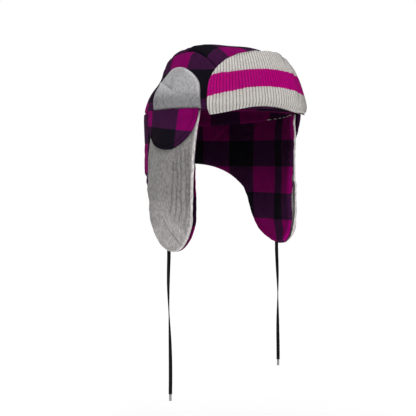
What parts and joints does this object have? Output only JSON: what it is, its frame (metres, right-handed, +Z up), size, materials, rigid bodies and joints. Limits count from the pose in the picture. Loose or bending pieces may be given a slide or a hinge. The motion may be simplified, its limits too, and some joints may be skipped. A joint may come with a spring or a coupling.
{
  "type": "trapper hat",
  "caption": "Quilted trapper hat with a plaid crown, a turned-up ribbed knit visor, long ear flaps of sock knit with half-round covers, a neck curtain and flat hanging laces",
  "frame": {"origin": "middle of the head opening, level with the ear seam", "axes": "+Z up, front of the hat towards -Y, the wearer's right side towards -X"},
  "size_m": [0.198, 0.221, 0.4504],
  "materials": {
    "plaid_flannel": "napped flannel woven in a large magenta, purple and black check",
    "plaid_lining": "napped flannel in the same check, used as the lining",
    "grey_sock_knit": "thick grey marl stocking knit",
    "cream_rib_knit": "cream ribbed knit with a broad magenta stripe",
    "wadding": "lofty polyester wadding",
    "lace_braid": "flat black braided lace",
    "aglet_plastic": "clear grey plastic film, crimped round the lace end"
  },
  "bodies": {
    "crown": {"crown_centre_panel": "plaid_flannel", "crown_right_panel": "plaid_flannel", "crown_left_panel": "plaid_flannel", "crown_wadding": "wadding", "crown_lining": "plaid_lining", "inner_band": "plaid_lining", "neck_curtain_right": "plaid_flannel", "neck_curtain_left": "plaid_flannel", "neck_wadding": "wadding", "neck_lining": "plaid_lining", "right_toe_patch": "grey_sock_knit", "left_toe_patch": "grey_sock_knit"},
    "visor": {"visor_face": "cream_rib_knit", "visor_wadding": "wadding", "visor_backing": "plaid_flannel"},
    "right_flap": {"right_flap_sock": "grey_sock_knit", "right_flap_wadding": "wadding", "right_flap_lining": "plaid_lining"},
    "right_cover": {"right_cover_face": "plaid_flannel", "right_cover_backing": "plaid_lining"},
    "right_lace": {"right_lace": "lace_braid", "right_aglet": "aglet_plastic"},
    "left_flap": {"left_flap_sock": "grey_sock_knit", "left_flap_wadding": "wadding", "left_flap_lining": "plaid_lining"},
    "left_cover": {"left_cover_face": "plaid_flannel", "left_cover_backing": "plaid_lining"},
    "left_lace": {"left_lace": "lace_braid", "left_aglet": "aglet_plastic"}
  },
  "joints": [
    {"name": "visor_fold", "type": "hinge", "parent": "crown", "child": "visor", "pos_m": [0, -0.092, 0], "axis": [1, 0, 0], "range_deg": [0, 90]},
    {"name": "right_flap_fold", "type": "hinge", "parent": "crown", "child": "right_flap", "pos_m": [-0.099, 0, 0], "axis": [0, 1, 0], "range_deg": [0, 150]},
    {"name": "right_cover_lift", "type": "hinge", "parent": "right_flap", "child": "right_cover", "pos_m": [-0.099, 0, 0], "axis": [0, -1, 0], "range_deg": [-165, 0]},
    {"name": "right_lace_swing", "type": "hinge", "parent": "right_flap", "child": "right_lace", "pos_m": [-0.091, 0.002, -0.1794], "axis": [0, 1, 0], "range_deg": [-150, 0]},
    {"name": "left_flap_fold", "type": "hinge", "parent": "crown", "child": "left_flap", "pos_m": [0.099, 0, 0], "axis": [0, -1, 0], "range_deg": [0, 150]},
    {"name": "left_cover_lift", "type": "hinge", "parent": "left_flap", "child": "left_cover", "pos_m": [0.099, 0, 0], "axis": [0, 1, 0], "range_deg": [-165, 0]},
    {"name": "left_lace_swing", "type": "hinge", "parent": "left_flap", "child": "left_lace", "pos_m": [0.091, -0.001, -0.1794], "axis": [0, -1, 0], "range_deg": [-150, 0]}
  ],
  "couplings": [
    {"joint": "right_lace_swing", "follows": "right_flap_fold", "ratio": -1},
    {"joint": "left_lace_swing", "follows": "left_flap_fold", "ratio": -1}
  ]
}
